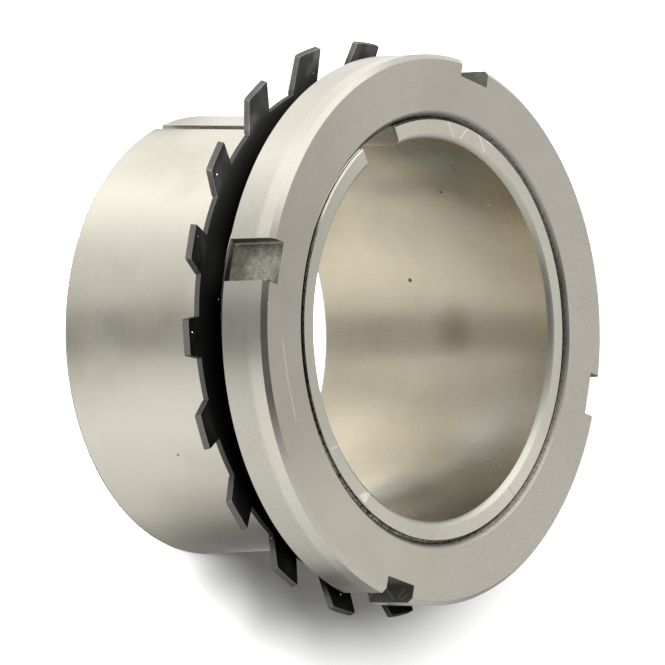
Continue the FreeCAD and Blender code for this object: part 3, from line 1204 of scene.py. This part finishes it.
@dataclass
class LockWasher:
    """Pressed sheet washer: ring, leaning outer teeth and the tongue that lies in the slit."""

    thickness: float = 2.0
    bore_radius: float = 70.808
    ring_width: float = 11.2
    middle: float = 63.5
    tilt: float = 2.2
    tilt_angle: float = 104.5
    offset: float = 0.4
    turned: float = 129.807
    teeth: int = 19
    tooth_length: float = 14.0
    root_width: float = 13.4
    tip_width: float = 11.9
    lean: float = 25.0
    bend_radius: float = 1.0
    tip_round: float = 0.8
    tongue_end: float = 65.0
    tongue_width: float = 16.0
    tongue_round: float = 1.0
    bend_steps: int = 5
    root_steps: int = 4
    gap_steps: int = 4
    crown_steps: int = 4
    round_steps: int = 3
    rounding: EdgeBreak = EdgeBreak(width=0.22)

    @property
    def layers(self) -> Pair:
        """Heights of the flat sheet's two faces."""
        return 0.0, self.thickness

    @property
    def step(self) -> float:
        """Degrees from one tooth to the next."""
        return TURN / self.teeth

    @property
    def ring_radius(self) -> float:
        """Outer radius of the ring between the teeth."""
        return self.bore_radius + self.ring_width

    @property
    def root(self) -> float:
        """Distance from the axis of the straight line at which a tooth bends."""
        return math.sqrt(self.ring_radius ** 2 - (self.root_width / 2) ** 2)

    @property
    def half_root(self) -> float:
        """Half of the angle that a tooth's root takes up."""
        return math.degrees(math.atan2(self.root_width / 2, self.root))

    @property
    def half_tongue(self) -> float:
        """Half of the angle that the tongue takes up at the bore."""
        return math.degrees(math.asin(self.tongue_width / 2 / self.bore_radius))

    def _plate(self, draft: Draft, outline: Sequence[Sequence[float]]) -> None:
        """Draw both faces of a flat part of the sheet inside an outline."""
        for layer in self.layers:
            draft.face([(*place[:2], layer) for place in outline])

    def _edge(self, draft: Draft, path: Sequence[Sequence[float]]) -> None:
        """Draw the flat sheet's cut edge along a path."""
        draft.skin([[(*place[:2], layer) for layer in self.layers] for place in path],
                   Surface.INNER)

    def _leaning(self, reach: float, layer: float) -> Pair:
        """Place of a point of the bent tooth.

        Args:
            reach: distance past the bend's line, measured on the flat blank.
            layer: height in the sheet, from 0 to its thickness.

        Returns:
            Distance from the axis and height.
        """
        lean = math.radians(self.lean)
        middle = self.bend_radius + self.thickness / 2
        turn = min(reach / middle, lean)
        past = max(reach - middle * lean, 0.0)
        pivot = self.thickness + self.bend_radius
        arm = pivot - layer
        return (self.root + arm * math.sin(turn) + past * math.cos(lean),
                pivot - arm * math.cos(turn) + past * math.sin(lean))

    def _tip_outline(self, start: float) -> list[Pair]:
        """Outline of a tooth past its bend, as reach and distance aside.

        Args:
            start: reach at which the flat flange starts.

        Returns:
            The points from one side of the flange round its tip to the other.
        """
        end = self.tooth_length - start
        tip = self.ring_radius + end
        aside = self.tip_width / 2 - self.tip_round
        reach = start + end - tip + math.sqrt(tip ** 2 - aside ** 2) - self.tip_round
        side = [(start, self.root_width / 2)]
        side += [(reach + out, aside + up) for out, up in quarter_arc(self.tip_round,
                                                                self.round_steps)]
        crown = [(start + end - tip + math.sqrt(tip ** 2 - place ** 2), place)
                 for place in spread(aside, -aside, self.crown_steps)[1:-1]]
        return side + crown + [(place, -across) for place, across in reversed(side)]

    def _tooth(self, draft: Draft, centre: float) -> None:
        """Draw one tooth past the bend's line.

        Args:
            draft: the mesh in the making.
            centre: the tooth's direction in the blank.
        """
        def place(reach: float, aside: float, layer: float) -> Point:
            """Point of this tooth in the washer's own frame."""
            away, height = self._leaning(reach, layer)
            return polar(math.hypot(away, aside), centre + math.degrees(math.atan2(aside, away)),
                         height)

        def cut(path: Sequence[Pair]) -> None:
            """Draw the tooth's cut edge along a path."""
            draft.skin([[place(*at, layer) for layer in self.layers] for at in path],
                       Surface.INNER)

        flat = (self.bend_radius + self.thickness / 2) * math.radians(self.lean)
        half = self.root_width / 2
        bend = spread(0.0, flat, self.bend_steps)
        across = spread(-half, half, self.root_steps)
        outline = self._tip_outline(flat)
        for layer in self.layers:
            draft.skin([[place(reach, aside, layer) for aside in across] for reach in bend])
            draft.face([place(*at, layer) for at in outline]
                       + [place(flat, aside, layer) for aside in across[1:-1]])
        for aside in (-half, half):
            cut([(reach, aside) for reach in bend])
        cut(outline)

    def _ring_columns(self) -> list[Pair]:
        """Columns of the ring: the angle and the outer radius of each.

        Returns:
            The columns once round, starting in the gap over the tongue.
        """
        half = self.root_width / 2
        columns = []
        for number in range(self.teeth):
            centre = (number + 0.5) * self.step
            columns += [(centre + math.degrees(math.atan2(aside, self.root)),
                         math.hypot(self.root, aside))
                        for aside in spread(-half, half, self.root_steps)]
            gap = spread(centre + self.half_root, centre + self.step - self.half_root,
                         self.gap_steps)
            columns += [(angle, self.ring_radius) for angle in gap[1:-1]]
        for angle in (self.half_tongue, TURN - self.half_tongue):
            offset = math.radians(angle % self.step - self.step / 2)
            columns.append((angle, self.root / math.cos(offset)))
        return sorted(columns, key=lambda column: column[0] % TURN)

    def _ring(self, draft: Draft, columns: Sequence[Pair]) -> None:
        """Draw the flat ring, with its cut edges between the teeth and beside the tongue.

        Args:
            draft: the mesh in the making.
            columns: the angle and the outer radius of each column.
        """
        for first, second in zip(columns, [*columns[1:], columns[0]]):
            inner = [polar(self.bore_radius, angle) for angle, _ in (first, second)]
            outer = [polar(radius, angle) for angle, radius in (first, second)]
            self._plate(draft, (inner[0], *outer, inner[1]))
            middle = (first[0] + (second[0] - first[0]) % TURN / 2) % TURN
            if abs(middle % self.step - self.step / 2) > self.half_root:
                self._edge(draft, outer)
            if self.half_tongue < middle < TURN - self.half_tongue:
                self._edge(draft, inner)

    def _tongue(self, draft: Draft, arc: list[Point]) -> None:
        """Draw the tongue from the ring's bore inwards.

        Args:
            draft: the mesh in the making.
            arc: the points of the bore at the bottom face that the tongue grows from.
        """
        away, aside = self.tongue_end + self.tongue_round, self.tongue_width / 2 - self.tongue_round
        side = [(away - out, aside + up)
                for out, up in quarter_arc(self.tongue_round, self.round_steps)]
        outline = side + [(along, -across) for along, across in reversed(side)]
        self._plate(draft, [*outline, *arc])
        self._edge(draft, [arc[-1], *outline, arc[0]])

    def build(self) -> None:
        """Build and dress the washer."""
        draft = Draft()
        columns = self._ring_columns()
        self._ring(draft, columns)
        for number in range(self.teeth):
            self._tooth(draft, (number + 0.5) * self.step)
        from_tongue = [(angle + TURN / 2) % TURN - TURN / 2 for angle, _ in columns]
        self._tongue(draft, [polar(self.bore_radius, angle) for angle in sorted(from_tongue)
                             if abs(angle) < self.half_tongue + NEARLY])
        away = Vector(polar(1.0, self.tilt_angle))
        place = (Matrix.Translation(away * self.offset + Vector((0.0, 0.0, self.middle)))
                 @ Matrix.Rotation(math.radians(self.tilt), 4, Vector((-away.y, away.x, 0.0)))
                 @ Matrix.Rotation(math.radians(self.turned), 4, "Z")
                 @ Matrix.Translation((0.0, 0.0, -self.thickness / 2)))
        piece = draft.build("toothed_lock_washer", place)
        self.rounding.put_on(piece, lambda at: True)
        dress(piece, "washer", "lock_washer", (BLACK_STEEL, WORN_BLACK, CUT_BLACK))


@dataclass(frozen=True)
class Glow:
    """Soft light or shade from one direction of the room."""

    azimuth: float
    elevation: float
    inner: float
    outer: float
    level: float


@dataclass(frozen=True)
class Shade:
    """Round soft-edged gauze under the table that dims what passes through it, in mm."""

    x: float
    y: float
    inner: float
    outer: float
    passed: float


@dataclass
class Studio:
    """Pale floor, the room's light by direction, the lamp and the camera."""

    room_level: float = 0.42
    room_colour: Colour = (1.0, 0.985, 0.955)
    room_glows: tuple[Glow, ...] = (
        Glow(15.0, 42.0, 10.0, 60.0, 0.46),
        Glow(104.0, 32.0, 12.0, 44.0, 1.12),
        Glow(62.0, 2.0, 5.0, 30.0, 0.4),
        Glow(340.0, 15.0, 10.0, 40.0, 0.2),
        Glow(285.0, 33.0, 15.0, 42.0, 0.32),
        Glow(205.0, 50.0, 20.0, 31.0, -0.29),
    )
    below_levels: tuple[Pair, ...] = (
        (0.0, 0.42), (30.0, 1.05), (57.0, 1.22), (97.0, 1.31), (116.0, 1.58), (132.0, 1.34),
        (147.0, 1.0), (162.0, 0.88), (177.0, 0.82), (183.0, 0.42), (201.0, 0.4), (208.0, 0.76),
        (224.0, 1.0), (241.0, 1.06), (259.0, 0.98), (279.0, 0.87), (298.0, 0.77), (309.0, 0.62),
        (322.0, 0.38), (340.0, 0.27), (360.0, 0.42))
    horizon: Pair = (-0.25, 0.05)
    backdrop: float = 0.96
    shades: tuple[Shade, ...] = (Shade(5.0, 86.0, 8.0, 52.0, 0.4),
                                 Shade(80.0, -66.0, 6.0, 34.0, 0.45),
                                 Shade(108.0, -188.0, 15.0, 62.0, 0.4))
    shade_depth: float = 0.05
    shade_reach: float = 0.27
    floor_reach: float = 6.0
    # Painted light: the floor's far side glows, washing out shade there.
    far_heading: float = 104.5
    far_lift: float = 0.85
    far_from: Pair = (0.02, 0.09)
    paper: Colour = (0.21, 0.21, 0.2075)
    bore_reach: float = 0.064
    bore_heading: float = 15.3
    bore_light: float = 1.08
    bore_slope: float = 1.4
    bore_shade: float = 0.45
    bore_shade_from: Pair = (0.010, 0.050)
    seen_floor: float = 0.03
    lamp_heading: float = 186.5
    lamp_rise: float = 51.5
    lamp_distance: float = 0.92
    lamp_size: float = 0.34
    lamp_power: float = 96.0
    camera_place: Point = (-2067.511, -567.103, 1758.391)
    camera_turn: Point = (1.5871, -51.4961, 13.3065)
    camera_focal: float = 450.22
    camera_sensor: float = 36.0
    camera_range: Pair = (0.1, 20.0)

    @staticmethod
    def _sheet(name: str, reach: float, height: float) -> tuple[bpy.types.Object, Nodes]:
        """Lay a square sheet about the axis, whose material is still empty.

        Args:
            name: the sheet's name.
            reach: half of its side in metres.
            height: its height in metres.

        Returns:
            The sheet and its material's nodes.
        """
        mesh = bpy.data.meshes.new(name)
        mesh.from_pydata([(-reach, -reach, height), (reach, -reach, height),
                          (reach, reach, height), (-reach, reach, height)], [], [(0, 1, 2, 3)])
        material = bpy.data.materials.new(name)
        material.use_nodes = True
        material.node_tree.nodes.clear()
        mesh.materials.append(material)
        piece = add_object(name, mesh)
        return piece, Nodes(material.node_tree)

    def floor(self) -> None:
        """Make the floor: white with soft shadows for the camera, clear for reflections; for the
        camera its far side and its part inside the bore glow as painted light.
        """
        _, nodes = self._sheet("pale_floor", self.floor_reach, 0.0)
        x, y, _ = nodes.split(nodes.add("NewGeometry").outputs["Position"])
        in_bore = nodes.maths("LESS_THAN", nodes.radius(x, y), self.bore_reach)
        across = nodes.maths("ABSOLUTE", nodes.along(x, y, self.bore_heading + TURN / 4))
        passed = nodes.times(
            nodes.plus(self.bore_light, nodes.times(nodes.along(x, y, self.bore_heading),
                                                    self.bore_slope)),
            nodes.map(across, self.bore_shade_from, (1.0, 1.0 - self.bore_shade), smooth=True))
        clear = nodes.add("BsdfTransparent", nodes.between(in_bore, 1.0, passed))
        paper = nodes.add("BsdfDiffuse", (*self.paper, 1.0))
        # Painted light: a glow on the floor's far side, and a white glow inside the bore.
        far = nodes.map(nodes.along(x, y, self.far_heading), self.far_from,
                        (self.seen_floor, self.seen_floor + self.far_lift), smooth=True)
        lit = nodes.add("Emission")
        nodes.feed(lit.inputs["Strength"], nodes.plus(far, in_bore))
        seen = nodes.add("AddShader", paper.outputs[0], lit.outputs[0])
        from_above = nodes.maths("SUBTRACT", 1.0, nodes.add("NewGeometry").outputs["Backfacing"])
        by_camera = nodes.times(nodes.add("LightPath").outputs["Is Camera Ray"], from_above)
        chosen = nodes.add("MixShader", by_camera, clear.outputs[0], seen.outputs[0])
        nodes.add("OutputMaterial", chosen.outputs[0])

    def gauze(self) -> None:
        """Lay a clear sheet under the table whose shades only reflections meet."""
        height = -self.shade_depth
        piece, nodes = self._sheet("table_gauze", self.shade_reach, height)
        piece.visible_camera = False
        piece.visible_shadow = False
        place = nodes.add("NewGeometry").outputs["Position"]
        shares = [nodes.map(
            nodes.vector("DISTANCE", place, (*metres((shade.x, shade.y)), height)),
            metres((shade.inner, shade.outer)), (shade.passed, 1.0), smooth=True)
            for shade in self.shades]
        clear = nodes.add("BsdfTransparent", nodes.times(*shares))
        nodes.add("OutputMaterial", clear.outputs[0])

    def _light_below(self, nodes: Nodes, x: Socket, y: Socket) -> Socket:
        """Light that comes up from the white table, by direction about Z.

        Args:
            nodes: the room's nodes.
            x: X of the direction that is looked at.
            y: Y of it.

        Returns:
            Its level.
        """
        turns = nodes.maths("DIVIDE", nodes.maths("ARCTAN2", y, x), 2 * math.pi)
        ramp = nodes.add("ValToRGB", nodes.maths("FRACT", nodes.plus(turns, 1.0)))
        top = max(level for _, level in self.below_levels)
        stops = ramp.color_ramp.elements
        for azimuth, level in self.below_levels:
            at = azimuth / TURN
            stop = {0.0: stops[0], 1.0: stops[-1]}.get(at) or stops.new(at)
            stop.color = (level / top,) * 3 + (1.0,)
        return nodes.times(ramp.outputs["Color"], top)

    def room(self) -> None:
        """Light the room softly, with its glows, its shaded side and the table below."""
        world = bpy.data.worlds.new("studio_room")
        world.use_nodes = True
        world.node_tree.nodes.clear()
        nodes = Nodes(world.node_tree)
        heading = nodes.add("TexCoord").outputs["Generated"]
        glows = []
        for glow in self.room_glows:
            flat, height, _ = polar(1.0, glow.elevation)
            toward = nodes.vector("DOT_PRODUCT", heading, polar(flat, glow.azimuth, height))
            edges = tuple(math.cos(math.radians(edge)) for edge in (glow.outer, glow.inner))
            glows.append(nodes.map(toward, edges, (0.0, glow.level), smooth=True))
        x, y, rise = nodes.split(heading)
        level = nodes.between(nodes.map(rise, self.horizon, SHARE, smooth=True),
                              self._light_below(nodes, x, y),
                              nodes.plus(self.room_level, *glows))
        strength = nodes.between(nodes.add("LightPath").outputs["Is Camera Ray"], level,
                                 self.backdrop)
        back = nodes.add("Background", (*self.room_colour, 1.0), strength)
        nodes.add("OutputWorld", back.outputs[0])
        bpy.context.scene.world = world

    def lamp(self) -> None:
        """Hang the soft lamp whose light lays the nut's shadow on the floor."""
        light = bpy.data.lights.new("soft_lamp", "AREA")
        light.shape = "DISK"
        light.size = self.lamp_size
        light.energy = self.lamp_power
        piece = add_object("soft_lamp", light)
        flat, height, _ = polar(self.lamp_distance, self.lamp_rise)
        piece.location = polar(flat, self.lamp_heading, height)
        piece.rotation_euler = (-piece.location).to_track_quat("-Z", "Y").to_euler()
        piece.visible_camera = False
        piece.visible_glossy = False

    def camera(self) -> None:
        """Place the camera at the photograph's viewing angle."""
        data = bpy.data.cameras.new("photo_camera")
        data.lens = self.camera_focal
        data.sensor_width = self.camera_sensor
        data.clip_start, data.clip_end = self.camera_range
        piece = add_object("photo_camera", data)
        piece.location = Vector(self.camera_place) * MM
        piece.rotation_euler = Euler([math.radians(turn) for turn in self.camera_turn], "XYZ")
        bpy.context.scene.camera = piece

    def build(self) -> None:
        """Build the whole studio."""
        self.floor()
        self.gauze()
        self.room()
        self.lamp()
        self.camera()
        view = bpy.context.scene.view_settings
        view.view_transform = "Standard"
        view.look = "None"


def corners(box: tuple[Vector, Vector]) -> list[list[float]]:
    """A box's lowest and highest corner as plain lists."""
    return [list(corner) for corner in box]


def main() -> None:
    """Build the pieces and the studio."""
    logging.basicConfig(level=logging.INFO, format="%(message)s")
    for part in (AdapterSleeve(), LockWasher(), LockNut(), Studio()):
        part.build()
    bpy.context.view_layer.update()


if __name__ == "__main__":
    main()
